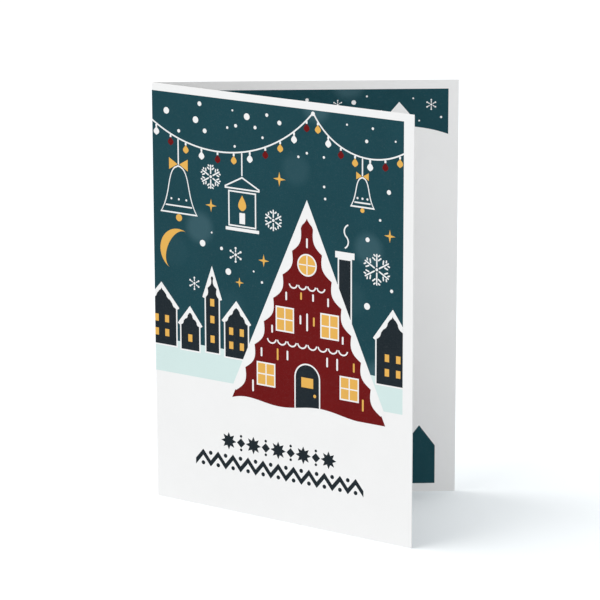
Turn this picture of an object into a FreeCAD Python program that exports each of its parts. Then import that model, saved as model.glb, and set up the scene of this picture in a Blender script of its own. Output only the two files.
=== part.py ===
"""A greeting card: one sheet of board, creased once down the middle and stood half open.

Frame: +Z up and the card standing on Z = 0, with the origin below the middle of its box.
The crease is on the -X side and the leaves open towards +X. The cover is the leaf on the
-Y side, and the back leaf is the one on the +Y side. Sizes are in millimetres and degrees.
"""
import FreeCAD, Part
import math
import os
import Sketcher

NODE = "card"

# Name, value and meaning of each driving size
DRIVING_SIZES = (
    ("sheet_width", 210.0, "cut width of the flat sheet, half of it to each leaf"),
    ("sheet_height", 148.0, "cut height of the flat sheet, which is the length of the fold"),
    ("board_thickness", 0.4, "thickness of the board, about 350 grams a square metre"),
    ("crease_radius", 0.3, "radius of the crease on the inside of the card"),
    ("opening_angle", 35.0, "angle between the two leaves"),
)

# The same measures as expressions of the driving sizes: each leaf leans half the opening away
# from the middle plane, and the flat of a leaf is half the sheet less its half of the bend
LEAN = "(Sizes.opening_angle / 2 * 1deg)"
OUTER_RADIUS = "(Sizes.crease_radius + Sizes.board_thickness)"
BEND = "((Sizes.crease_radius + Sizes.board_thickness / 2) * pi / 180 * (90 - Sizes.opening_angle / 2))"
FLAT = "(Sizes.sheet_width / 2 - %s)" % BEND
FOLD_TO_ORIGIN = "(%s * cos(%s) - Sizes.crease_radius * sin(%s) - %s) / 2" % (FLAT, LEAN, LEAN, OUTER_RADIUS)

# The two leaves, as the sign of their Y
COVER = -1
BACK = 1

# The sketcher's numbers for a point on an element, and for the sketch's own axis and origin
START = 1
END = 2
CENTRE = 3
X_AXIS = -1
ORIGIN_ELEMENT = -1
ORIGIN_POINT = 1


def write_sizes(document):
    """Keep the driving sizes in a spreadsheet, and give their values by name."""
    sizes = document.addObject("Spreadsheet::Sheet", "Sizes")
    for row, (name, value, meaning) in enumerate(DRIVING_SIZES, start=1):
        sizes.set("A%d" % row, name)
        sizes.set("B%d" % row, str(value))
        sizes.set("C%d" % row, meaning)
        sizes.setAlias("B%d" % row, name)
    document.recompute()
    return {name: float(sizes.get(name)) for name, value, meaning in DRIVING_SIZES}


def own_plane(body, role):
    """Give one of the body's own origin planes."""
    return [plane for plane in body.Origin.OriginFeatures if plane.Role == role][0]


def bind(sketch, name, constraint, expression):
    """Add a measure to the sketch under a name, and bind it to the driving sizes."""
    index = sketch.addConstraint(constraint)
    sketch.renameConstraint(index, name)
    sketch.setExpression("Constraints." + name, expression)


def draw_fold(sketch, centre, lean, inner_radius, outer_radius):
    """Draw the outside and the inside of the fold, as arcs about one centre."""
    up = FreeCAD.Vector(0, 0, 1)
    first = math.pi / 2 + lean
    last = 3 * math.pi / 2 - lean
    outer = Part.ArcOfCircle(Part.Circle(centre, up, outer_radius), first, last)
    inner = Part.ArcOfCircle(Part.Circle(centre, up, inner_radius), first, last)
    outer_arc = sketch.addGeometry(outer, False)
    inner_arc = sketch.addGeometry(inner, False)
    return outer_arc, inner_arc


def draw_leaf(sketch, side, centre, lean, flat, inner_radius, outer_radius):
    """Draw a leaf's outside face, free edge and inside face, from the fold and back to it."""

    def point(along, away):
        """Give the point that far along the leaf and that far out from the line through the centre."""
        x = centre.x + along * math.cos(lean) - away * math.sin(lean)
        y = side * (along * math.sin(lean) + away * math.cos(lean))
        return FreeCAD.Vector(x, y, 0)

    outside = Part.LineSegment(point(0, outer_radius), point(flat, outer_radius))
    free_edge = Part.LineSegment(point(flat, outer_radius), point(flat, inner_radius))
    inside = Part.LineSegment(point(flat, inner_radius), point(0, inner_radius))
    return [sketch.addGeometry(line, False) for line in (outside, free_edge, inside)]


def folded_section(body, size):
    """Sketch the folded board as seen from above, with its middle on the X axis."""
    lean = math.radians(size["opening_angle"] / 2)
    inner_radius = size["crease_radius"]
    outer_radius = inner_radius + size["board_thickness"]
    bend = (inner_radius + size["board_thickness"] / 2) * (math.pi / 2 - lean)
    flat = size["sheet_width"] / 2 - bend
    fold_to_origin = (flat * math.cos(lean) - inner_radius * math.sin(lean) - outer_radius) / 2
    centre = FreeCAD.Vector(-fold_to_origin, 0, 0)

    sketch = body.newObject("Sketcher::SketchObject", "FoldedSection")
    sketch.AttachmentSupport = [(own_plane(body, "XY_Plane"), "")]
    sketch.MapMode = "FlatFace"

    outer_arc, inner_arc = draw_fold(sketch, centre, lean, inner_radius, outer_radius)
    sketch.addConstraint(Sketcher.Constraint("Coincident", outer_arc, CENTRE, inner_arc, CENTRE))
    sketch.addConstraint(Sketcher.Constraint("PointOnObject", outer_arc, CENTRE, X_AXIS))
    inside_radius = Sketcher.Constraint("Radius", inner_arc, inner_radius)
    outside_radius = Sketcher.Constraint("Radius", outer_arc, outer_radius)
    bind(sketch, "crease_inside", inside_radius, "Sizes.crease_radius")
    bind(sketch, "crease_outside", outside_radius, OUTER_RADIUS)
    to_origin = (outer_arc, CENTRE, ORIGIN_ELEMENT, ORIGIN_POINT, fold_to_origin)
    bind(sketch, "fold_place", Sketcher.Constraint("DistanceX", *to_origin), FOLD_TO_ORIGIN)

    for side, name, arc_end in ((COVER, "cover", END), (BACK, "back", START)):
        leaf = draw_leaf(sketch, side, centre, lean, flat, inner_radius, outer_radius)
        outside, free_edge, inside = leaf
        sketch.addConstraint(Sketcher.Constraint("Tangent", outer_arc, arc_end, outside, START))
        sketch.addConstraint(Sketcher.Constraint("Tangent", inner_arc, arc_end, inside, END))
        sketch.addConstraint(Sketcher.Constraint("Coincident", outside, END, free_edge, START))
        sketch.addConstraint(Sketcher.Constraint("Coincident", free_edge, END, inside, START))
        sketch.addConstraint(Sketcher.Constraint("Parallel", outside, inside))
        sketch.addConstraint(Sketcher.Constraint("Perpendicular", outside, free_edge))
        bind(sketch, name + "_flat", Sketcher.Constraint("Distance", outside, flat), FLAT)
        leaf_lean = Sketcher.Constraint("Angle", outside, side * lean)
        bind(sketch, name + "_lean", leaf_lean, "%d * %s" % (side, LEAN))
    return sketch


def folded_sheet(document, size):
    """Make the whole sheet: the folded section, raised as high as the sheet was cut."""
    body = document.addObject("PartDesign::Body", "Card")
    body.Label = NODE
    sketch = folded_section(body, size)
    pad = body.newObject("PartDesign::Pad", "FoldedSheet")
    pad.Profile = sketch
    pad.Length = size["sheet_height"]
    pad.setExpression("Length", "Sizes.sheet_height")
    body.Tip = pad
    return body


def check(document, pieces):
    """Stop unless every object recomputed and every piece is a sound solid."""
    for thing in document.Objects:
        if "Invalid" in thing.State or "Error" in thing.State:
            raise RuntimeError("%s did not recompute: %s" % (thing.Name, thing.State))
    for piece in pieces:
        if piece.Shape.isNull() or not piece.Shape.isValid():
            raise RuntimeError("%s has no valid shape" % piece.Label)


def write(pieces):
    """Write each piece to its own file, and print its size."""
    os.makedirs("parts", exist_ok=True)
    for piece in pieces:
        piece.Shape.exportStep("parts/%s.step" % piece.Label)
        box = piece.Shape.BoundBox
        extent = "%.2f x %.2f x %.2f mm" % (box.XLength, box.YLength, box.ZLength)
        print("%s: %s, %.0f mm3" % (piece.Label, extent, piece.Shape.Volume))


document = FreeCAD.newDocument("GreetingCard")
size = write_sizes(document)
pieces = [folded_sheet(document, size)]
document.recompute()
check(document, pieces)
write(pieces)
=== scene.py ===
"""A half open greeting card: white board, a printed winter scene and a plain studio.

The print is drawn flat, in millimetres, on the sheet as it was before folding, and is then
folded with it. On the cover and on the inside page alike, x runs from the fold to the free
edge and y runs up from the foot. Each ink of a drawing becomes one thin closed piece.
"""
import math
import random

import bmesh
import bpy
from mathutils import Matrix, Vector


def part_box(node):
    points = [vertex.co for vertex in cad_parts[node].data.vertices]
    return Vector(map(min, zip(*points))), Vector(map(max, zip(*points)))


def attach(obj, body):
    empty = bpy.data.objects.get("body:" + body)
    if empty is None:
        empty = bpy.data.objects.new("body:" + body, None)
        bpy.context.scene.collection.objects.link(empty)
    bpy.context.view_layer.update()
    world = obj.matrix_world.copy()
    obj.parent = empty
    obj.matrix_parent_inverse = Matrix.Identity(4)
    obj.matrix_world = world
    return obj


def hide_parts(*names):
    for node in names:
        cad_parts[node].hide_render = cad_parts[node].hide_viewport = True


bl_info = {
    "name": "Folded greeting card",
    "version": (1, 0, 0),
    "blender": (4, 5, 0),
    "location": "3D View > Sidebar > Card",
    "description": "Builds the folded board, its printed winter scene and a plain studio",
    "category": "Object",
}

MM = 0.001
NODE = "card"
BODY = "root"
# The two printed pages, and the sheet that carries them
COVER = -1
INSIDE = 1
WHOLE_SHEET = 0
# How far the crease is pressed in, which also leaves room for the print round the fold
CREASE_PRESS = 0.06 * MM
# Cuts that let the sheet bend, and one just past the bend that keeps the leaf's shading flat
BEND_CUTS = 12
FLAT_CUT = 0.2 * MM
# How much the cut edges are softened, and the turn past which an edge is shaded sharp
EDGE_SOFTENING = 0.04 * MM
SHARP_TURN = math.radians(20)

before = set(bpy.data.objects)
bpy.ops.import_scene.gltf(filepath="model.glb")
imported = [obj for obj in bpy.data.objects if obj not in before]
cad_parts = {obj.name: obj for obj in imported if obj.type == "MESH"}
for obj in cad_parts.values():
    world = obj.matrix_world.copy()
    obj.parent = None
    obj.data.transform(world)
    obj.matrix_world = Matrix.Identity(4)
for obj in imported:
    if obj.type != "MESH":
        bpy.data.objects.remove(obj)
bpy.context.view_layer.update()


def toward(heading):
    """Give a step of length one in a heading on a flat plane."""
    return Vector((math.cos(heading), math.sin(heading)))


class FoldedSheet:
    """The folded sheet's own sizes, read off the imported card, and the way to fold a flat point."""

    def __init__(self, card):
        low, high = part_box(NODE)
        corners = [vert.co for vert in card.data.vertices]
        outer_tip = max(corners, key=lambda co: co.y).to_2d()
        inner_tip = max((co for co in corners if co.y > 0), key=lambda co: co.x).to_2d()
        through = outer_tip - inner_tip
        self.board = through.length
        self.lean = math.atan2(-through.x, through.y)
        self.along = toward(self.lean)
        outward = Vector((-self.along.y, self.along.x))
        outer_radius = (outward.dot(outer_tip) - outward.x * low.x) / (1 + outward.x)
        self.centre = Vector((low.x + outer_radius, 0))
        self.radius = outer_radius - self.board / 2
        self.bend = self.radius * (math.pi / 2 - self.lean)
        self.half_width = self.bend + self.along.dot(outer_tip - self.centre)
        self.height = high.z

    def folded(self, across, up, out):
        """Fold a point: across from the fold line (back leaf positive), up, and out from mid board."""
        side = math.copysign(1, across)
        on_bend = min(abs(across), self.bend)
        past_bend = abs(across) - on_bend
        turn = on_bend / self.radius
        pressed = CREASE_PRESS * math.cos(math.pi / 2 * on_bend / self.bend) ** 2
        reach = self.radius + out - pressed
        x = self.centre.x - reach * math.cos(turn) + past_bend * self.along.x
        y = reach * math.sin(turn) + past_bend * self.along.y
        return Vector((x, side * y, up))


SHEET = FoldedSheet(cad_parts[NODE])


def srgb(red, green, blue):
    """Give a screen colour of 0 to 255 as the plain values that colour sockets hold."""
    values = []
    for level in (red / 255, green / 255, blue / 255):
        values.append(level / 12.92 if level <= 0.04045 else ((level + 0.055) / 1.055) ** 2.4)
    return tuple(values)


def length(name, description, default):
    """Make a length setting, given in millimetres."""
    return bpy.props.FloatProperty(
        name=name, description=description, default=default * MM, unit="LENGTH")


def colour(name, description, default):
    """Make a colour setting."""
    return bpy.props.FloatVectorProperty(
        name=name, description=description, default=default, subtype="COLOR", size=3, min=0, max=1)


def angle(name, description, default):
    """Make an angle setting, given in degrees."""
    return bpy.props.FloatProperty(
        name=name, description=description, default=math.radians(default), subtype="ANGLE", unit="ROTATION")


class CARD_PG_inks(bpy.types.PropertyGroup):
    """Colours of the board and of the inks."""

    board: colour("Board", "White board of the sheet", (0.885, 0.885, 0.885))
    teal: colour("Teal", "Night sky", srgb(27, 68, 77))
    glow: colour("Glow", "Soft lights in the night sky", srgb(58, 92, 101))
    mint: colour("Mint", "Snow in the distance", srgb(211, 231, 229))
    navy: colour("Navy", "Far houses and the knitted rows", srgb(30, 39, 45))
    red: colour("Red", "Walls of the cabin", srgb(108, 17, 18))
    gold: colour("Gold", "Moon and lit windows", srgb(230, 178, 88))


class CARD_PG_layout(bpy.types.PropertyGroup):
    """Where the print lies on the page, and how fine it is."""

    right_margin: length("Right margin", "Bare board beside the cover's free edge", 3.8)
    top_margin: length("Top margin", "Bare board below the cover's top edge", 2.55)
    inside_right_margin: length("Inside right margin", "Bare board beside the page's free edge", 3.5)
    inside_top_margin: length("Inside top margin", "Bare board below the page's top edge", 3.1)
    sky_foot: length("Foot of the sky", "Height at which the sky meets the snow", 58.0)
    snow_foot: length("Foot of the snow", "Height at which the band of snow ends", 46.2)
    hill: length("Inside hill", "Height of the snowy hill on the inside page", 130.94)
    line: length("Line", "Width of a drawn line", 0.52)
    layer: length("Layer", "Rise of each layer of print above the last", 0.015)
    snow_seed: bpy.props.IntProperty(name="Snow seed", description="Picks where the snow falls", default=11)


class CARD_PG_cabin(bpy.types.PropertyGroup):
    """The red cabin on the cover."""

    middle: length("Middle", "Distance of the cabin's middle from the fold", 63.5)
    half_width: length("Half width", "Half the width across the eaves", 31.5)
    foot: length("Foot", "Height of the doorstep", 40.5)
    ridge: length("Ridge", "Height of the ridge", 111.5)


class CARD_PG_studio(bpy.types.PropertyGroup):
    """Camera and lights."""

    lens: bpy.props.FloatProperty(
        name="Lens", description="Focal length of the camera in millimetres", default=185.3, unit="CAMERA")
    place: bpy.props.FloatVectorProperty(
        name="Place", description="Place of the camera", default=(0.2821, -0.9846, 0.345), size=3,
        subtype="TRANSLATION", unit="LENGTH")
    heading: angle("Heading", "Turn of the camera about the upright", 15.863)
    tilt: angle("Tilt", "How far the camera looks down", 14.791)
    roll: angle("Roll", "Turn of the camera about its own view", -0.173)
    room: bpy.props.FloatProperty(
        name="Room light", description="Light from all around", default=0.785, min=0)
    key: bpy.props.FloatProperty(
        name="Key light", description="Strength of the soft light from the left", default=1.545, min=0)
    key_spread: angle("Key spread", "Width of the soft light as the card sees it", 40.0)
    key_heading: angle("Key heading", "Direction of the soft light, from the front", -68.0)
    key_height: angle("Key height", "Height of the soft light above the floor", 62.0)


SETTINGS = {
    "card_inks": CARD_PG_inks,
    "card_layout": CARD_PG_layout,
    "card_cabin": CARD_PG_cabin,
    "card_studio": CARD_PG_studio,
}


def inks():
    """Give the colour settings."""
    return bpy.context.scene.card_inks


def layout():
    """Give the page settings."""
    return bpy.context.scene.card_layout


def printed_corner(page):
    """Give the top right corner of a page's print, in millimetres from the foot of the fold."""
    page_set = layout()
    side, above = page_set.right_margin, page_set.top_margin
    if page == INSIDE:
        side, above = page_set.inside_right_margin, page_set.inside_top_margin
    return (SHEET.half_width - side) / MM, (SHEET.height - above) / MM


# Materials


# How much board and ink shine, and how high the board's fibres stand
PAPER_SHINE = 0.05
FIBRE_HEIGHT = 0.03 * MM
# Each ink's unevenness, show-through, roughness and tooth, and those of the sheet's cut edge
FINISHES = {
    "white": (0.01, 0.0, 0.6, 0.3),
    "teal": (0.05, 0.02, 0.5, 0.22),
    "mint": (0.012, 0.05, 0.55, 0.3),
    "navy": (0.06, 0.02, 0.5, 0.22),
    "red": (0.05, 0.02, 0.5, 0.22),
    "gold": (0.04, 0.03, 0.5, 0.25),
}
CUT_FINISH = (0.04, 0.0, 0.8, 1.0)
# A cut edge is this much of the board's own lightness
CUT_SHADE = 0.95
# What a face of a drawing can be, by its material index
INKS = ("unprinted", *FINISHES)


def fill(tree, node, values):
    """Give inputs of a node a plain value, or link them to another node's output."""
    for socket, value in values.items():
        if isinstance(value, bpy.types.NodeSocket):
            tree.links.new(value, node.inputs[socket])
        else:
            node.inputs[socket].default_value = value


def add_node(tree, kind, values=None, **settings):
    """Add a node with its settings, and fill its inputs."""
    made = tree.nodes.new(kind)
    for name, value in settings.items():
        setattr(made, name, value)
    fill(tree, made, values or {})
    return made


def maths(tree, operation, *values):
    """Work a number out of up to three others, and give the output."""
    return add_node(tree, "ShaderNodeMath", dict(enumerate(values)), operation=operation).outputs["Value"]


def remapped(tree, value, start, end, new_start, new_end, kind="LINEAR"):
    """Map the span from start to end on a new span, and give the output."""
    spans = {"Value": value, "From Min": start, "From Max": end, "To Min": new_start, "To Max": new_end}
    return add_node(tree, "ShaderNodeMapRange", spans, interpolation_type=kind).outputs["Result"]


def mixed(tree, factor, first, second):
    """Mix two colours, and give the output."""
    values = {"Factor": factor, "A": first, "B": second}
    return add_node(tree, "ShaderNodeMix", values, data_type="RGBA").outputs["Result"]


def link_by_seen_ray(tree, lighting, seen, output):
    """Use one shader to light things, and another where the camera or a reflection sees it."""
    path = add_node(tree, "ShaderNodeLightPath").outputs
    reflected = maths(tree, "MAXIMUM", path["Is Camera Ray"], path["Is Glossy Ray"])
    through = maths(tree, "MAXIMUM", reflected, path["Is Transmission Ray"])
    mix = add_node(tree, "ShaderNodeMixShader", {"Fac": through, 1: lighting, 2: seen})
    add_node(tree, output, {"Surface": mix.outputs["Shader"]})


def new_group(name, takes, gives):
    """Start a node group with named sockets, and give it with what it takes in."""
    tree = bpy.data.node_groups.new(name, "ShaderNodeTree")
    for direction, sockets in (("INPUT", takes), ("OUTPUT", gives)):
        for socket, kind in sockets.items():
            tree.interface.new_socket(name=socket, in_out=direction, socket_type="NodeSocket" + kind)
    return tree, tree.nodes.new("NodeGroupInput").outputs


def board_fibre_group():
    """Node group: the tooth of pressed board, as slow clouds, fine grain and single fibres."""
    tree, given = new_group(
        "Board fibre", {"Vector": "Vector"}, {"Clouds": "Float", "Fibres": "Float", "Height": "Float"})

    def noise(**values):
        values["Vector"] = given["Vector"]
        return add_node(tree, "ShaderNodeTexNoise", values).outputs["Fac"]

    clouds = noise(Scale=55, Detail=4, Roughness=0.55)
    grain = noise(Scale=2300, Detail=5, Roughness=0.62)
    strands = noise(Scale=900, Detail=2, Distortion=1.6)
    off_middle = maths(tree, "ABSOLUTE", maths(tree, "SUBTRACT", strands, 0.5))
    fibres = remapped(tree, off_middle, 0, 0.022, 1, 0, "SMOOTHSTEP")
    height = maths(tree, "MULTIPLY_ADD", fibres, 0.35, grain)
    add_node(tree, "NodeGroupOutput", {"Clouds": clouds, "Fibres": fibres, "Height": height})


def ink_lay_group():
    """Node group: how evenly an ink lies, lighter and darker in clouds and thin over the fibres."""
    tree, given = new_group(
        "Ink lay",
        {"Ink": "Color", "Board": "Color", "Clouds": "Float", "Fibres": "Float",
         "Unevenness": "Float", "Show-through": "Float", "Roughness": "Float"},
        {"Colour": "Color", "Roughness": "Float"})
    swing = remapped(tree, given["Clouds"], 0.3, 0.7, -1, 1)
    lightness = maths(tree, "MULTIPLY_ADD", swing, given["Unevenness"], 1)
    lit = add_node(tree, "ShaderNodeHueSaturation", {"Value": lightness, "Color": given["Ink"]})
    thin = maths(tree, "MULTIPLY", given["Fibres"], given["Show-through"])
    shown = mixed(tree, thin, lit.outputs["Color"], given["Board"])
    rough = maths(tree, "MULTIPLY_ADD", swing, 0.05, given["Roughness"])
    add_node(tree, "NodeGroupOutput", {"Colour": shown, "Roughness": rough})


def soft_lights(tree, sky_colour):
    """Put faint round lights into a sky, laid out on the sheet, and give the new colour."""
    page = add_node(tree, "ShaderNodeUVMap", uv_map="Sheet")
    cells = add_node(
        tree, "ShaderNodeTexVoronoi", {"Vector": page.outputs["UV"], "Scale": 6.2, "Randomness": 0.9},
        voronoi_dimensions="2D", feature="F1")
    channels = add_node(tree, "ShaderNodeSeparateColor", {"Color": cells.outputs["Color"]})
    disc = remapped(tree, cells.outputs["Distance"], 0.13, 0.3, 1, 0, "SMOOTHSTEP")
    chosen = remapped(tree, channels.outputs["Red"], 0.35, 0.8, 0, 0.9)
    return mixed(tree, maths(tree, "MULTIPLY", disc, chosen), sky_colour, (*inks().glow, 1))


def paper_material(name, ink, finish, lights=False):
    """Make the material of bare board or of an ink on it."""
    unevenness, show_through, roughness, tooth = finish
    made = bpy.data.materials.new(name)
    made.use_nodes = True
    made.diffuse_color = (*ink, 1)
    tree = made.node_tree
    groups = bpy.data.node_groups
    place = {"Vector": add_node(tree, "ShaderNodeTexCoord").outputs["Object"]}
    fibre = add_node(tree, "ShaderNodeGroup", place, node_tree=groups["Board fibre"]).outputs
    inked = {
        "Ink": (*ink, 1), "Board": (*inks().board, 1), "Clouds": fibre["Clouds"], "Fibres": fibre["Fibres"],
        "Unevenness": unevenness, "Show-through": show_through, "Roughness": roughness}
    lay = add_node(tree, "ShaderNodeGroup", inked, node_tree=groups["Ink lay"]).outputs
    grain = {"Strength": tooth, "Distance": FIBRE_HEIGHT, "Height": fibre["Height"]}
    bump = add_node(tree, "ShaderNodeBump", grain)
    fill(tree, tree.nodes["Principled BSDF"], {
        "Base Color": soft_lights(tree, lay["Colour"]) if lights else lay["Colour"],
        "Roughness": lay["Roughness"],
        "Specular IOR Level": PAPER_SHINE,
        "Normal": bump.outputs["Normal"],
    })


# Pieces


def mesh_object(bm, name, materials):
    """Make an object of a finished mesh."""
    mesh = bpy.data.meshes.new(name)
    bm.to_mesh(mesh)
    bm.free()
    for material in materials:
        mesh.materials.append(bpy.data.materials[material])
    made = bpy.data.objects.new(name, mesh)
    bpy.context.scene.collection.objects.link(made)
    return made


def finished_piece(bm, name, materials):
    """Make a piece of a finished mesh, and have it ride on the card."""
    piece = mesh_object(bm, name, materials)
    piece.data.shade_smooth()
    piece.data.set_sharp_from_angle(angle=SHARP_TURN)
    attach(piece, BODY)
    return piece


def cut(bm, faces, at, normal, drop=False):
    """Cut faces along a line through a point, and drop what lies past it if asked."""
    edges = dict.fromkeys(edge for face in faces for edge in face.edges)
    verts = dict.fromkeys(vert for face in faces for vert in face.verts)
    bmesh.ops.bisect_plane(
        bm, geom=[*verts, *edges, *faces], dist=1e-8, plane_co=at, plane_no=normal, clear_outer=drop)


def fold_mesh(bm, page):
    """Fold a flat mesh with the sheet: the sheet itself, or a print whose z is its rise from a page."""
    bmesh.ops.recalc_face_normals(bm, faces=bm.faces[:])
    uv = bm.loops.layers.uv.new("Sheet")
    nearest = min(vert.co.x for vert in bm.verts)
    lines = [SHEET.bend * step / BEND_CUTS for step in range(-BEND_CUTS, BEND_CUTS + 1)]
    for line in (-SHEET.bend - FLAT_CUT, *lines, SHEET.bend + FLAT_CUT):
        if line > nearest:
            cut(bm, bm.faces[:], (line, 0, 0), (1, 0, 0))
    for face in bm.faces:
        for loop in face.loops:
            loop[uv].uv = loop.vert.co.xy / SHEET.height
    for vert in bm.verts:
        across, up, out = vert.co
        if page == COVER:
            across, out = -across, SHEET.board / 2 + out
        elif page == INSIDE:
            out = -SHEET.board / 2 - out
        vert.co = SHEET.folded(across, up, out)
    # Folding mirrors a mesh, and each page's own mirroring above turns its print back again
    if page == WHOLE_SHEET:
        bmesh.ops.reverse_faces(bm, faces=bm.faces[:])


class Arc:
    """An arc that sags between two points, as a string does."""

    def __init__(self, start, end, sag):
        chord = Vector(end) - Vector(start)
        self.radius = (chord.length ** 2 / 4 + sag ** 2) / (2 * sag)
        upward = Vector((-chord.y, chord.x)).normalized()
        self.centre = (Vector(start) + Vector(end)) / 2 + upward * (self.radius - sag)
        self.first = Vector(start) - self.centre
        self.sweep = 2 * math.asin(chord.length / 2 / self.radius)

    def place(self, share):
        """Give the point at that share of the way along."""
        return self.centre + Matrix.Rotation(self.sweep * share, 2) @ self.first

    def below(self, point):
        """Give how far a point lies below the arc, less than nothing above it."""
        return (Vector(point) - self.centre).length - self.radius


# The thinnest line that an inset can start from, in millimetres
HAIRLINE = 0.001


class Print:
    """A drawing on one page, in millimetres: x from the fold, y up from the foot."""

    def __init__(self):
        self.bm = bmesh.new()
        self.line = layout().line / MM

    def fresh(self):
        """Give the faces that have no ink yet."""
        return [face for face in self.bm.faces if face.material_index == 0]

    def lay(self, ink, layer, faces=None):
        """Ink the faces that have none yet, or only the given ones, and lift them to their layer."""
        for face in faces or self.fresh():
            face.material_index = INKS.index(ink)
            for vert in face.verts:
                vert.co.z = layer * layout().layer / MM

    def disc(self, x, y, radius, points=32):
        """Draw a filled round, or a filled polygon of a few points."""
        made = bmesh.ops.create_circle(
            self.bm, cap_ends=True, radius=radius, segments=points, matrix=Matrix.Translation((x, y, 0)))
        return made["verts"]

    def turn(self, verts, x, y, amount):
        """Turn points about a place on the page."""
        bmesh.ops.rotate(self.bm, verts=verts, cent=(x, y, 0), matrix=Matrix.Rotation(amount, 3, "Z"))

    def stretch(self, verts, x, y, across, up):
        """Stretch points away from a place on the page, or draw them in towards it."""
        bmesh.ops.scale(self.bm, verts=verts, vec=(across, up, 1), space=Matrix.Translation((-x, -y, 0)))

    def star(self, x, y, radius, rays, waist):
        """Draw a star whose notches are at that share of its radius."""
        notches = self.disc(x, y, radius, 2 * rays)[1::2]
        self.stretch(notches, x, y, waist, waist)

    def crescent(self, x, y, radius, hollow, lean):
        """Draw a crescent moon: one half of a round is folded over to that share of its radius."""
        verts = self.disc(x, y, radius, 48)
        far = [vert for vert in verts if vert.co.x > x + 1e-4]
        self.stretch(far, x, y, -hollow, 1)
        self.turn(verts, x, y, lean)

    def bar(self, start, end, width=None):
        """Draw a round-ended line from one point to another."""
        width = width or self.line
        points = 12
        verts = self.disc(0, 0, width / 2, points)
        self.turn(verts, 0, 0, math.pi / points)
        ahead = [vert for vert in verts if vert.co.x > 0]
        run = Vector(end) - Vector(start)
        bmesh.ops.translate(self.bm, verts=verts, vec=(width / 2, 0, 0))
        bmesh.ops.translate(self.bm, verts=ahead, vec=(max(run.length - width, 0), 0, 0))
        self.turn(verts, 0, 0, math.atan2(run.y, run.x))
        bmesh.ops.translate(self.bm, verts=verts, vec=(*start, 0))

    def panel(self, left, foot, right, top, columns=1, rows=1):
        """Draw a rectangle in so many columns and rows, and give its points."""
        middle = Matrix.Translation(((left + right) / 2, (foot + top) / 2, 0))
        spread = Matrix.Diagonal(((right - left) / 2, (top - foot) / 2, 1, 1))
        made = bmesh.ops.create_grid(
            self.bm, x_segments=columns, y_segments=rows, size=1, matrix=middle @ spread)
        return made["verts"]

    def gable(self, middle, half_width, foot, eaves, ridge):
        """Draw the front of a house under a pitched roof."""
        for vert in self.panel(middle - half_width, foot, middle + half_width, eaves, columns=2):
            if abs(vert.co.x - middle) < half_width / 2 and vert.co.y > (foot + eaves) / 2:
                vert.co.y = ridge

    def arched(self, middle, foot, half_width, top):
        """Draw a door with a round head."""
        for vert in self.panel(middle - half_width, foot, middle + half_width, top, columns=24):
            if vert.co.y > foot + 0.1:
                around = math.pi / 2 * (vert.co.x - middle) / half_width
                vert.co.x = middle + half_width * math.sin(around)
                vert.co.y = top - half_width * (1 - math.cos(around))

    def turned(self, middle, foot, top, half_width_at, rows=24):
        """Draw a shape alike on both sides of an upright, half as wide as half_width_at says."""
        for vert in self.panel(middle - 1, foot, middle + 1, top, rows=rows):
            share = (vert.co.y - foot) / (top - foot)
            vert.co.x = middle + math.copysign(half_width_at(share), vert.co.x - middle)

    def outlined(self, line_ink, fill_ink, layer, shrink=None):
        """Ink the edge of what was just drawn in one colour, and fill it with another or leave it bare.

        The edge is one line wide, or what is left when the inside shrinks by a share of its size.
        """
        inner = self.fresh()
        thickness = HAIRLINE if shrink else self.line
        rim = bmesh.ops.inset_region(
            self.bm, faces=inner, thickness=thickness, use_even_offset=True, use_boundary=True)
        if shrink:
            verts = list(dict.fromkeys(vert for face in inner for vert in face.verts))
            middle = sum((vert.co for vert in verts), Vector()) / len(verts)
            self.stretch(verts, middle.x, middle.y, 1 - shrink[0], 1 - shrink[1])
        self.lay(line_ink, layer, rim["faces"])
        if fill_ink:
            self.lay(fill_ink, layer, inner)
        else:
            bmesh.ops.delete(self.bm, geom=inner, context="FACES")

    def hung_line(self, arc):
        """Draw a line along a hanging arc."""
        ends = []
        for side in (-1, 1):
            reach = arc.first * (1 + side * self.line / 2 / arc.radius)
            ends.append(self.bm.verts.new((arc.centre + reach).to_3d()))
        edge = self.bm.edges.new(ends)
        bmesh.ops.spin(
            self.bm, geom=[*ends, edge], cent=arc.centre.to_3d(), axis=(0, 0, 1), angle=arc.sweep,
            steps=max(12, round(arc.radius * arc.sweep)))

    def publish(self, name, page, lights=False):
        """Trim the drawing to the printed field, fold it, and make a closed piece of each ink in it."""
        right, top = printed_corner(page)
        for at, outward in (((0, 0, 0), (-1, 0, 0)), ((right, 0, 0), (1, 0, 0)), ((0, top, 0), (0, 1, 0))):
            cut(self.bm, self.bm.faces[:], at, outward, drop=True)
        for number in sorted({face.material_index for face in self.bm.faces}):
            ink = INKS[number]
            part = self.bm.copy()
            others = [face for face in part.faces if face.material_index != number]
            bmesh.ops.delete(part, geom=others, context="FACES")
            for face in part.faces:
                face.material_index = 0
            bmesh.ops.scale(part, verts=part.verts[:], vec=(MM, MM, MM))
            raised = bmesh.ops.extrude_face_region(part, geom=part.faces[:], use_keep_orig=True)
            for vert in raised["geom"]:
                if isinstance(vert, bmesh.types.BMVert):
                    vert.co.z = -layout().layer / 2
            fold_mesh(part, page)
            material = "Ink night sky" if lights and ink == "teal" else "Ink " + ink
            finished_piece(part, name + "_" + ink, [material])
        self.bm.free()


# The print's motifs


# Headings of a flake's six arms, from straight up
FLAKE_ARMS = tuple(math.pi / 2 + arm * math.pi / 3 for arm in range(6))
# Lean of a flake's twigs away from its arm
TWIG_LEAN = math.radians(52)


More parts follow.
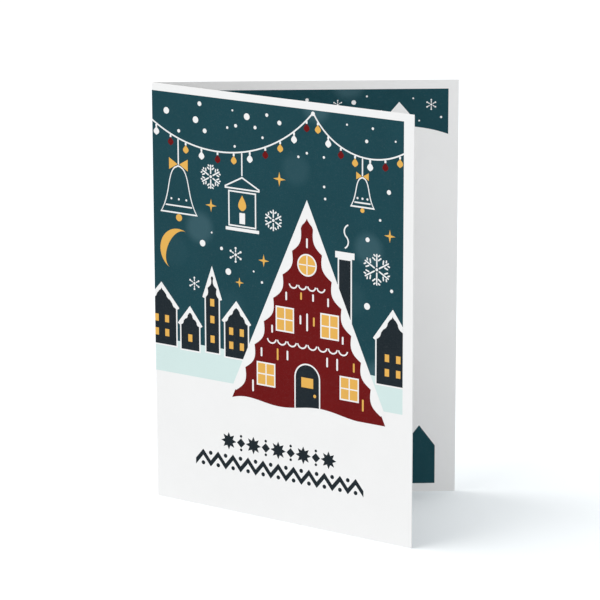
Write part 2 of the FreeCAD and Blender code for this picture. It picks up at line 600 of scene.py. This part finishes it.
def window(drawing, middle, foot, width, height):
    """Draw a lit window of four panes in a white frame."""
    rim = drawing.line
    bar = 0.45
    drawing.panel(middle - width / 2 - rim, foot - rim, middle + width / 2 + rim, foot + height + rim)
    drawing.lay("white", 4)
    pane_width = (width - bar) / 2
    pane_height = (height - bar) / 2
    for left in (middle - width / 2, middle + bar / 2):
        for low in (foot, foot + pane_height + bar):
            drawing.panel(left, low, left + pane_width, low + pane_height)
    drawing.lay("gold", 5)


def snow_cap(drawing, middle, half_width, ridge, drop, depth, drips, layer):
    """Draw snow along a pitched roof, square to its slope, thin at the ridge and dripping below."""
    slope = math.hypot(half_width, drop)
    for vert in drawing.panel(-1, 0, 1, 1, columns=20 * drips):
        share, lower = vert.co.x, vert.co.y < 0.5
        drip = 0.5 + 0.5 * abs(math.sin(math.pi * drips * share))
        thinned = min(0.6 + 1.6 * abs(share), 1)
        thick = depth * drip * thinned if lower else 0
        off = max(abs(share) * half_width - thick * drop / slope, 0)
        vert.co.x = middle + math.copysign(off, share)
        vert.co.y = ridge - abs(share) * drop - thick * half_width / slope
    drawing.lay("white", layer)


def snowflake(drawing, x, y, radius):
    """Draw a six-armed snowflake in separate strokes, as a stencil is cut."""
    width = drawing.line
    centre = Vector((x, y))
    hub = 1.1 * width
    drawing.disc(x, y, hub, 6)
    # Twigs on each arm: their share of the way along it, and their share of its length
    twigs = ((0.5, 0.3), (0.76, 0.2)) if radius > 4 else ((0.55, 0.3),)
    for heading in FLAKE_ARMS:
        ray = toward(heading)
        drawing.bar(centre + ray * (hub + 0.6 * width), centre + ray * radius)
        for share, reach in twigs:
            for side in (-1, 1):
                twig = toward(heading + side * TWIG_LEAN)
                root = centre + ray * radius * share + twig * width * 1.15
                drawing.bar(root, root + twig * radius * reach)
    drawing.lay("white", 2)


def snow_burst(drawing, x, y, radius):
    """Draw a small flake as six rays that each end in a dot."""
    centre = Vector((x, y))
    drawing.disc(x, y, radius * 0.2, 12)
    for heading in FLAKE_ARMS:
        ray = toward(heading)
        drawing.bar(centre + ray * radius * 0.3, centre + ray * radius * 0.68, radius * 0.155)
        tip = centre + ray * radius * 0.84
        drawing.disc(tip.x, tip.y, radius * 0.15, 12)
    drawing.lay("white", 2)


def far_house(drawing, middle, half_width, foot, eaves, ridge, windows):
    """Draw a small dark house with a white outline, snow on its roof and lit windows."""
    drawing.gable(middle, half_width, foot, eaves, ridge)
    drawing.outlined("white", "navy", 2)
    pitch = (ridge - eaves) / half_width
    over = half_width + 0.9
    snow_cap(drawing, middle, over, ridge + 1.3, over * pitch, 1.7, 3, 3)
    for x, y in windows:
        drawing.panel(middle + x - 0.85, foot + y, middle + x + 0.85, foot + y + 2.6)
    drawing.lay("gold", 3)


def bell(drawing, x, top, size):
    """Draw a hanging bell as a white outline, with a gold bow and clapper."""
    foot = top - size
    half = size * 0.46

    def half_width_at(share):
        flare = 0.56 + 0.44 * (1 - share) ** 3.2
        return half * flare * math.sqrt(max(1 - share ** 4, 0.004))

    drawing.turned(x, foot, top, half_width_at)
    drawing.outlined("white", None, 2, shrink=(1.3 * drawing.line / half, 2 * drawing.line / size))
    rim_y = foot + size * 0.16
    inner = half_width_at(0.16) - drawing.line * 1.4
    drawing.bar((x - inner, rim_y), (x + inner, rim_y))
    for share in (-0.4, 0, 0.4):
        drawing.disc(x + share * half, foot + size * 0.3, drawing.line * 0.75, 12)
    drawing.lay("white", 2)
    drawing.disc(x, foot - size * 0.08, size * 0.075, 20)
    for side in (-1, 1):
        bow_x, bow_y = x + side * size * 0.16, top + size * 0.02
        loop = drawing.disc(bow_x, bow_y, size * 0.14, 3)
        drawing.turn(loop, bow_x, bow_y, math.radians(150 if side < 0 else -30))
    drawing.lay("gold", 3)


def lantern(drawing, x, top, size):
    """Draw a hanging lantern as a white outline with a gold flame."""
    half = size * 0.3
    roof = top - size * 0.24
    foot = top - size
    drawing.gable(x, half * 1.25, roof, roof + size * 0.05, top)
    drawing.outlined("white", None, 2)
    drawing.panel(x - half, foot + size * 0.08, x + half, roof - drawing.line)
    drawing.outlined("white", None, 2)
    drawing.panel(x - half * 1.2, foot, x + half * 1.2, foot + size * 0.06)
    drawing.panel(x - size * 0.06, foot + size * 0.14, x + size * 0.06, foot + size * 0.34)
    drawing.lay("white", 2)

    def flame(share):
        return size * 0.085 * math.sin(math.pi * min(max(share, 0.02), 0.985) ** 0.62)

    drawing.turned(x, foot + size * 0.38, foot + size * 0.66, flame)
    drawing.lay("gold", 2)


class CARD_OT_materials(bpy.types.Operator):
    """Make the materials of the board and of every ink"""

    bl_idname = "card.materials"
    bl_label = "Board and inks"

    def execute(self, context):
        board_fibre_group()
        ink_lay_group()
        board = inks().board
        paper_material("Board", board, FINISHES["white"])
        paper_material("Cut edge", [level * CUT_SHADE for level in board], CUT_FINISH)
        for name, finish in FINISHES.items():
            ink = board if name == "white" else getattr(inks(), name)
            paper_material("Ink " + name, ink, finish)
        paper_material("Ink night sky", inks().teal, FINISHES["teal"], lights=True)
        return {"FINISHED"}


class CARD_OT_board(bpy.types.Operator):
    """Make the folded sheet of board, with softened cut edges and a pressed crease"""

    bl_idname = "card.board"
    bl_label = "Folded board"

    def execute(self, context):
        bm = bmesh.new()
        spread = Matrix.Diagonal((SHEET.half_width, SHEET.height / 2, 1, 1))
        middle = Matrix.Translation((0, SHEET.height / 2, -SHEET.board / 2))
        bmesh.ops.create_grid(bm, x_segments=1, y_segments=1, size=1, matrix=middle @ spread)
        raised = bmesh.ops.extrude_face_region(bm, geom=bm.faces[:], use_keep_orig=True)
        top = [item for item in raised["geom"] if isinstance(item, bmesh.types.BMVert)]
        bmesh.ops.translate(bm, verts=top, vec=(0, 0, SHEET.board))
        bmesh.ops.bevel(
            bm, geom=bm.edges[:], offset=EDGE_SOFTENING, segments=2, affect="EDGES", profile=0.5, material=-1)
        bm.normal_update()
        for face in bm.faces:
            face.material_index = 1 if abs(face.normal.z) < 0.9 else 0
        fold_mesh(bm, WHOLE_SHEET)
        board = finished_piece(bm, "folded_board", ["Board", "Cut edge"])
        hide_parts(NODE)
        return {"FINISHED"}


class CARD_OT_fields(bpy.types.Operator):
    """Print the night sky and the band of snow on the cover"""

    bl_idname = "card.fields"
    bl_label = "Sky and snow"

    def execute(self, context):
        horizon = layout().sky_foot / MM
        right, top = printed_corner(COVER)
        fields = Print()
        fields.panel(0, horizon, right, top)
        fields.lay("teal", 1)
        fields.panel(0, layout().snow_foot / MM, right, horizon)
        fields.lay("mint", 1)
        fields.publish("field", COVER, lights=True)
        return {"FINISHED"}


# The colours of the bulbs in turn, where the two strings of lights meet, and each with its number of bulbs
BULB_COLOURS = ("gold", "white", "red")
HOOK = (66, 144.2)
STRINGS = (
    (Arc((-6, 140), (HOOK[0] - 0.25, HOOK[1]), 15), 12),
    (Arc((HOOK[0] + 0.25, HOOK[1]), (107, 139), 10), 8),
)


def hung_things():
    """Give what hangs from the strings, between two bulbs: its drawing, hook, drop and size."""
    (near, near_bulbs), (far, far_bulbs) = STRINGS
    return (
        (bell, near.place(3 / near_bulbs), 9.5, 17),
        (lantern, near.place(7 / near_bulbs), 8.5, 19),
        (bell, far.place(4 / far_bulbs), 6.5, 10.5))


def bulb_half_width(share):
    """Give the half width of a pear-shaped bulb, from 0 at its tip to 1 at its cap."""
    return 1.15 * math.sin(math.pi * min(max(share, 0.03), 0.93) ** 0.8)


class CARD_OT_garland(bpy.types.Operator):
    """Print the string of lights along the top of the cover, and what hangs from it"""

    bl_idname = "card.garland"
    bl_label = "Garland"

    def execute(self, context):
        garland = Print()
        lit = 0
        for arc, bulbs in STRINGS:
            garland.hung_line(arc)
            garland.lay("white", 2)
            for number in range(bulbs):
                spot = arc.place((number + 0.5) / bulbs)
                garland.panel(spot.x - 0.35, spot.y - 1.2, spot.x + 0.35, spot.y - 0.3)
                garland.lay("white", 3)
                garland.turned(spot.x, spot.y - 4.0, spot.y - 1.2, bulb_half_width, rows=18)
                garland.lay(BULB_COLOURS[lit % 3], 2)
                lit += 1
        for hang, spot, drop, size in hung_things():
            garland.bar((spot.x, spot.y - drop + 0.2), (spot.x, spot.y - 0.3))
            garland.lay("white", 4)
            hang(garland, spot.x, spot.y - drop, size)
        garland.disc(*HOOK, 0.75, 20)
        garland.lay("white", 3)
        garland.publish("garland", COVER)
        return {"FINISHED"}


# Dots of falling snow, their radii, and the least gap between them and what else is in the sky
SNOW_DOTS = 34
SNOW_RADII = (0.35, 0.45, 0.45, 0.6, 0.8, 1.15)
SNOW_GAP = 2


class CARD_OT_night(bpy.types.Operator):
    """Print the moon, sparkles, snowflakes and falling snow on the cover's sky"""

    bl_idname = "card.night"
    bl_label = "Moon and snow"

    def execute(self, context):
        # Each one's middle and radius
        sparkles = ((24.5, 108, 2.3), (52.5, 120.5, 2.5), (96, 106.5, 2.2), (46, 91.5, 2.2), (36, 82.5, 1.8))
        flakes = ((24.5, 118, 4.2), (91, 94.5, 5.4), (50, 106, 3.7))
        bursts = ((17.2, 79.6, 2.4), (34.5, 92, 2.8))
        moon = (10.5, 90.5, 7.5)
        gold = Print()
        gold.crescent(*moon, 0.58, math.radians(-28))
        for x, y, radius in sparkles:
            gold.star(x, y, radius, 4, 0.26)
        gold.lay("gold", 2)
        gold.publish("moon_and_sparkles", COVER)
        white = Print()
        for x, y, radius in flakes:
            snowflake(white, x, y, radius)
        for x, y, radius in bursts:
            snow_burst(white, x, y, radius)
        white.publish("snowflakes", COVER)
        hung = [(spot.x, spot.y - drop - size / 2, size * 0.62) for hang, spot, drop, size in hung_things()]
        self.falling_snow(context, [*sparkles, *flakes, *bursts, moon, *hung])
        return {"FINISHED"}

    def falling_snow(self, context, taken):
        """Scatter dots of snow where the sky is free."""
        cabin = context.scene.card_cabin
        middle, ridge = cabin.middle / MM, cabin.ridge / MM
        slope = cabin.half_width / (cabin.ridge - cabin.foot)
        draw = random.Random(layout().snow_seed)
        snow = Print()
        fallen = 0
        while fallen < SNOW_DOTS:
            x, y = draw.uniform(2, 99), draw.uniform(80, 143)
            radius = draw.choice(SNOW_RADII)
            roof = abs(x - middle) < (ridge + 7 - y) * slope + 2.5
            smoke = 9 < x - middle < 23 and y < 112
            village = (x < 42 or x > 88) and y < 84 or abs(x - 24.6) < 5 and y < 92
            lights = any(-1.5 < arc.below((x, y)) < 6 for arc, bulbs in STRINGS)
            near = any(
                math.hypot(x - other, y - high) < radius + size + SNOW_GAP for other, high, size in taken)
            if not (roof or smoke or village or lights or near):
                snow.disc(x, y, radius, 24)
                taken.append((x, y, radius))
                fallen += 1
        snow.lay("white", 2)
        snow.publish("falling_snow", COVER)


class CARD_OT_village(bpy.types.Operator):
    """Print the far houses on both sides of the cover"""

    bl_idname = "card.village"
    bl_label = "Village"

    def execute(self, context):
        # Each house's middle, half width, foot, eaves, ridge and windows
        two_by_two = ((-2.2, 3.5), (2.2, 3.5), (-2.2, 8.5), (2.2, 8.5))
        left = Print()
        far_house(left, 3.2, 6.6, 55.5, 69.5, 77, two_by_two)
        far_house(left, 15.2, 4.3, 55.0, 64.5, 70, ((0, 3.5),))
        far_house(left, 24.6, 3.2, 55.5, 76.5, 85.5, ((0, 4), (0, 11), (0, 17)))
        far_house(left, 34.6, 5.2, 55.0, 68.0, 74.5, two_by_two)
        left.publish("village_left", COVER)
        right = Print()
        far_house(right, 97.3, 6.8, 55.0, 71.0, 80.5, two_by_two)
        right.publish("village_right", COVER)
        return {"FINISHED"}


class CARD_OT_cabin(bpy.types.Operator):
    """Print the red cabin on the cover, with its snow, windows and door"""

    bl_idname = "card.cabin"
    bl_label = "Red cabin"

    def execute(self, context):
        size = context.scene.card_cabin
        middle, half_width = size.middle / MM, size.half_width / MM
        foot, ridge = size.foot / MM, size.ridge / MM
        pitch = (ridge - foot) / half_width
        cabin = Print()
        # The chimney's middle and top
        chimney, cap = middle + 15, 96.6
        cabin.panel(chimney - 2.8, 66, chimney + 2.8, cap)
        cabin.outlined("white", "navy", 2)
        cabin.panel(chimney - 3.8, cap, chimney + 3.8, cap + 2.2)
        smoke = Vector((chimney + 0.5, 104.2))
        for end in (Vector((chimney, 100.2)), Vector((chimney + 1.3, 108.2))):
            cabin.hung_line(Arc(end, smoke, 1.1))
        cabin.lay("white", 2)
        cabin.gable(middle, half_width, foot, foot + 0.8, ridge)
        cabin.outlined("white", "red", 3)
        over = (half_width + 1.4) * 0.94
        snow_cap(cabin, middle, over, ridge + 3.2, over * pitch, 3.8, 8, 4)
        self.shingle_rows(cabin, middle)
        self.openings(cabin, middle, foot)
        self.drift(cabin, middle, foot)
        cabin.publish("cabin", COVER)
        return {"FINISHED"}

    def shingle_rows(self, cabin, middle):
        """Draw two rows of hanging scallops across the wall, and short strokes of wood grain."""
        gap = 0.3
        for y, reach, scallops in ((64.6, 16.4, 8), (85.0, 7.4, 4)):
            step = 2 * reach / scallops
            for number in range(scallops):
                left = middle - reach + number * step
                cabin.hung_line(Arc((left + gap, y), (left + step - gap, y), step * 0.36))
        cabin.lay("white", 4)
        # Each pair's distance from the middle, foot, top and its inks on the left and on the right
        pairs = (
            (22.2, 44.8, 49, "white", "gold"), (12, 57.4, 61.6, "gold", "white"),
            (8, 58, 61.4, "white", "white"), (18.6, 57.8, 61, "white", "gold"),
            (14.2, 66.8, 69.6, "white", "white"), (2.7, 71.4, 74.6, "white", "gold"),
            (8.4, 79, 82, "white", "white"), (2.4, 80, 82.6, "gold", "white"))
        strokes = [(0, 69.4, 75.6, "white"), (0, 98.2, 101.6, "white")]
        for x, low, high, left_ink, right_ink in pairs:
            strokes += [(-x, low, high, left_ink), (x, low, high, right_ink)]
        for x, low, high, ink in strokes:
            cabin.bar((middle + x, low), (middle + x, high), 0.7)
            cabin.lay(ink, 4)

    def openings(self, cabin, middle, foot):
        """Draw the windows and the door."""
        for side in (-1, 1):
            window(cabin, middle + side * 9, 68.3, 6.4, 7.8)
            window(cabin, middle + side * 16.8, 48, 6.6, 7.4)
        round_y, reach, bar = 92.3, 3.3, 0.4
        cabin.disc(middle, round_y, 3.9)
        cabin.outlined("white", "gold", 4)
        cabin.bar((middle, round_y - reach), (middle, round_y + reach), bar)
        for side in (-1, 1):
            cabin.bar((middle + side * 0.3, round_y), (middle + side * reach, round_y), bar)
        cabin.lay("white", 5)
        cabin.arched(middle, foot, 5.2, foot + 17.5)
        cabin.outlined("white", "navy", 4)
        cabin.panel(middle - 2.4, foot + 9, middle + 2.4, foot + 12.5)
        cabin.disc(middle + 3, foot + 6.5, 0.6, 12)
        cabin.lay("gold", 5)

    def drift(self, cabin, middle, foot):
        """Draw the snow that the cabin stands in, thinning out to nothing on the bare board."""
        reach = 36
        verts = cabin.panel(middle - reach, foot - 10.5, middle + reach, foot + 1.5, columns=2 * reach)
        cabin.lay("white", 5)
        for vert in verts:
            share = (vert.co.x - middle) / reach
            if vert.co.y > foot:
                vert.co.y += 0.9 * math.sin(share * 7 + 0.6) - 3.4 * share ** 6
                vert.co.z *= 1 - 0.95 * share ** 8
            else:
                vert.co.z *= 0.04


class CARD_OT_knitted_rows(bpy.types.Operator):
    """Print two rows of knitted pattern on the white board below the picture"""

    bl_idname = "card.knitted_rows"
    bl_label = "Knitted rows"

    def execute(self, context):
        rows = Print()
        stars, start, pitch, middle = 5, 31, 10.25, 25.3
        for number in range(stars):
            rows.star(start + pitch * number, middle, 3.15, 8, 0.56)
            if number < stars - 1:
                x = start + pitch * (number + 0.5)
                rows.disc(x, middle, 1.7, 4)
                for side in (-1, 1):
                    rows.disc(x, middle + side * 2.45, 0.5, 16)
        waves = 11
        left, right, swing = 17, 86, 1.9
        period = (right - left) / waves
        for vert in rows.panel(left, 16.5, right, 18.7, columns=2 * waves):
            step = round((vert.co.x - left) / period * 2)
            vert.co.y += swing if step % 2 else -swing
        for number in range(waves):
            rows.disc(left + (number + 0.5) * period, 15.6, 0.75, 16)
            if number:
                rows.disc(left + number * period, 19.6, 0.75, 16)
        rows.lay("navy", 1)
        rows.publish("knitted_rows", COVER)
        return {"FINISHED"}


def hill_height(x):
    """Give the height of the snowy hill on the inside page, in millimetres."""
    share = x / printed_corner(INSIDE)[0]
    return layout().hill / MM + 1.5 * math.sin(share * 7.2 + 1.734) - 2.6 * share ** 11


class CARD_OT_inside_page(bpy.types.Operator):
    """Print the hill under a strip of night sky, and the dark roofs along the foot of the inside page"""

    bl_idname = "card.inside_page"
    bl_label = "Inside page"

    def execute(self, context):
        right, top = printed_corner(INSIDE)
        sky = Print()
        for vert in sky.panel(0, top - 10, right, top, columns=60):
            if vert.co.y < top - 1:
                vert.co.y = hill_height(vert.co.x)
        sky.lay("teal", 1)
        sky.publish("inside_sky", INSIDE, lights=True)
        detail = Print()
        # Each house's middle, half width, eaves and ridge
        houses = (
            (84.6, 3.6, 136.2, 140.4), (78.5, 2.2, 134.8, 137.6), (45.5, 2.8, 135.2, 138.5),
            (38, 4.2, 137, 141.5), (14, 3.2, 136.5, 140.2))
        for middle, half_width, eaves, ridge in houses:
            detail.gable(middle, half_width, 0, eaves, ridge)
        for vert in detail.bm.verts:
            if vert.co.y < 1:
                vert.co.y = hill_height(vert.co.x) - 0.15
        # Each dot's middle and radius
        dots = (
            (91.5, 133.8, 0.3), (99, 135.0, 0.4), (89.4, 141.6, 0.3), (69, 140.3, 0.8), (60, 136.8, 0.5),
            (53, 141.3, 0.6), (28, 139, 0.7), (22, 142.1, 0.4), (6, 140.6, 0.5), (73.5, 142.4, 0.35),
            (31.5, 134.6, 0.45), (53.5, 133.6, 0.7), (66, 133.2, 0.4), (20.5, 135.4, 0.6))
        for x, y, radius in dots:
            detail.disc(x, y, radius, 20)
        detail.lay("white", 2)
        snow_burst(detail, 95.6, 139.4, 1.95)
        snow_burst(detail, 63.5, 139.6, 1.7)
        detail.publish("inside_winter", INSIDE)
        roofs = Print()
        # The gables' foot, and each one's middle, half width, eaves and ridge
        foot = 3.05
        gables = (
            (8.5, 4.5, 12.5, 17), (18.5, 5.0, 16.5, 22.5), (27.5, 3.5, 11, 15), (36.5, 5.0, 14, 20),
            (46, 4.0, 18, 24.5), (55, 4.5, 12, 17.5), (64.5, 4.5, 16, 21.5), (73, 3.5, 11, 15.5),
            (82, 4.5, 13, 18.5), (92.2, 5.6, 17, 24.5))
        for middle, half_width, eaves, ridge in gables:
            roofs.gable(middle, half_width, foot, eaves, ridge)
        roofs.lay("teal", 1)
        roofs.publish("inside_roofs", INSIDE)
        return {"FINISHED"}


# The soft light's colour, and the floor's own colour and the one that the camera sees
KEY_COLOUR = (1.0, 0.96, 0.93)
FLOOR_COLOUR = (0.79, 0.825, 0.845, 1)
SEEN_FLOOR_COLOUR = (0.89, 0.937, 0.965, 1)
WHITE = (1, 1, 1, 1)
# How far the floor reaches and the camera sees, in metres
FLOOR_REACH = 6
FAR_ENOUGH = 50


class CARD_OT_stage(bpy.types.Operator):
    """Make the camera, the soft light, the white room and the pale floor"""

    bl_idname = "card.stage"
    bl_label = "Studio"

    def execute(self, context):
        studio = context.scene.card_studio
        self.camera(context.scene, studio)
        self.key_light(context.scene, studio)
        self.room(context.scene, studio)
        self.floor()
        return {"FINISHED"}

    def camera(self, scene, studio):
        """Place the camera at the photograph's viewing angle."""
        data = bpy.data.cameras.new("camera")
        data.lens = studio.lens
        data.clip_end = FAR_ENOUGH
        camera = bpy.data.objects.new("camera", data)
        upright = Matrix.Rotation(studio.heading, 4, "Z")
        down = Matrix.Rotation(math.pi / 2 - studio.tilt, 4, "X")
        level = Matrix.Rotation(studio.roll, 4, "Z")
        camera.matrix_world = Matrix.Translation(studio.place) @ upright @ down @ level
        scene.collection.objects.link(camera)
        scene.camera = camera

    def key_light(self, scene, studio):
        """Hang one broad soft light high on the left."""
        data = bpy.data.lights.new("key", "SUN")
        data.angle = studio.key_spread
        data.energy = studio.key
        data.color = KEY_COLOUR
        lamp = bpy.data.objects.new("key", data)
        away = Vector((0, -1, 0))
        away.rotate(Matrix.Rotation(-studio.key_height, 3, "X"))
        away.rotate(Matrix.Rotation(studio.key_heading, 3, "Z"))
        lamp.location = away
        lamp.rotation_euler = away.to_track_quat("Z", "Y").to_euler()
        scene.collection.objects.link(lamp)

    def room(self, scene, studio):
        """Light the card from all around, and show the room as plain white."""
        world = bpy.data.worlds.new("room")
        world.use_nodes = True
        scene.world = world
        tree = world.node_tree
        tree.nodes.clear()
        light = add_node(tree, "ShaderNodeBackground", {"Color": WHITE, "Strength": studio.room})
        seen = add_node(tree, "ShaderNodeBackground", {"Color": WHITE, "Strength": 1})
        link_by_seen_ray(
            tree, light.outputs["Background"], seen.outputs["Background"], "ShaderNodeOutputWorld")

    def floor(self):
        """Lay a pale floor, which the camera sees a little lighter, so that only the shadow shows."""
        bm = bmesh.new()
        bmesh.ops.create_circle(bm, cap_ends=True, radius=FLOOR_REACH, segments=96)
        material = bpy.data.materials.new("Floor")
        material.use_nodes = True
        tree = material.node_tree
        tree.nodes.clear()
        plain = add_node(tree, "ShaderNodeBsdfDiffuse", {"Color": FLOOR_COLOUR})
        lighter = add_node(tree, "ShaderNodeBsdfDiffuse", {"Color": SEEN_FLOOR_COLOUR})
        link_by_seen_ray(tree, plain.outputs["BSDF"], lighter.outputs["BSDF"], "ShaderNodeOutputMaterial")
        mesh_object(bm, "floor", ["Floor"])


BUILD_ORDER = (
    CARD_OT_materials,
    CARD_OT_board,
    CARD_OT_fields,
    CARD_OT_night,
    CARD_OT_garland,
    CARD_OT_village,
    CARD_OT_cabin,
    CARD_OT_knitted_rows,
    CARD_OT_inside_page,
    CARD_OT_stage,
)


class CARD_PT_panel(bpy.types.Panel):
    """Lists the card's steps and settings"""

    bl_label = "Greeting card"
    bl_idname = "CARD_PT_panel"
    bl_space_type = "VIEW_3D"
    bl_region_type = "UI"
    bl_category = "Card"

    def draw(self, context):
        for step in BUILD_ORDER:
            self.layout.operator(step.bl_idname)
        for name in SETTINGS:
            group = getattr(context.scene, name)
            box = self.layout.box()
            for setting in group.bl_rna.properties.keys():
                if setting not in ("rna_type", "name"):
                    box.prop(group, setting)


def register():
    """Add the classes and the settings."""
    for made in (*SETTINGS.values(), *BUILD_ORDER, CARD_PT_panel):
        bpy.utils.register_class(made)
    for name, group in SETTINGS.items():
        setattr(bpy.types.Scene, name, bpy.props.PointerProperty(type=group))


def unregister():
    """Take the settings and the classes away again."""
    for name in SETTINGS:
        delattr(bpy.types.Scene, name)
    for made in (CARD_PT_panel, *reversed(BUILD_ORDER), *SETTINGS.values()):
        bpy.utils.unregister_class(made)


def main():
    """Build everything in order."""
    register()
    bpy.context.scene.view_settings.view_transform = "Standard"
    bpy.ops.card.materials()
    bpy.ops.card.board()
    bpy.ops.card.fields()
    bpy.ops.card.night()
    bpy.ops.card.garland()
    bpy.ops.card.village()
    bpy.ops.card.cabin()
    bpy.ops.card.knitted_rows()
    bpy.ops.card.inside_page()
    bpy.ops.card.stage()


if __name__ == "__main__":
    main()
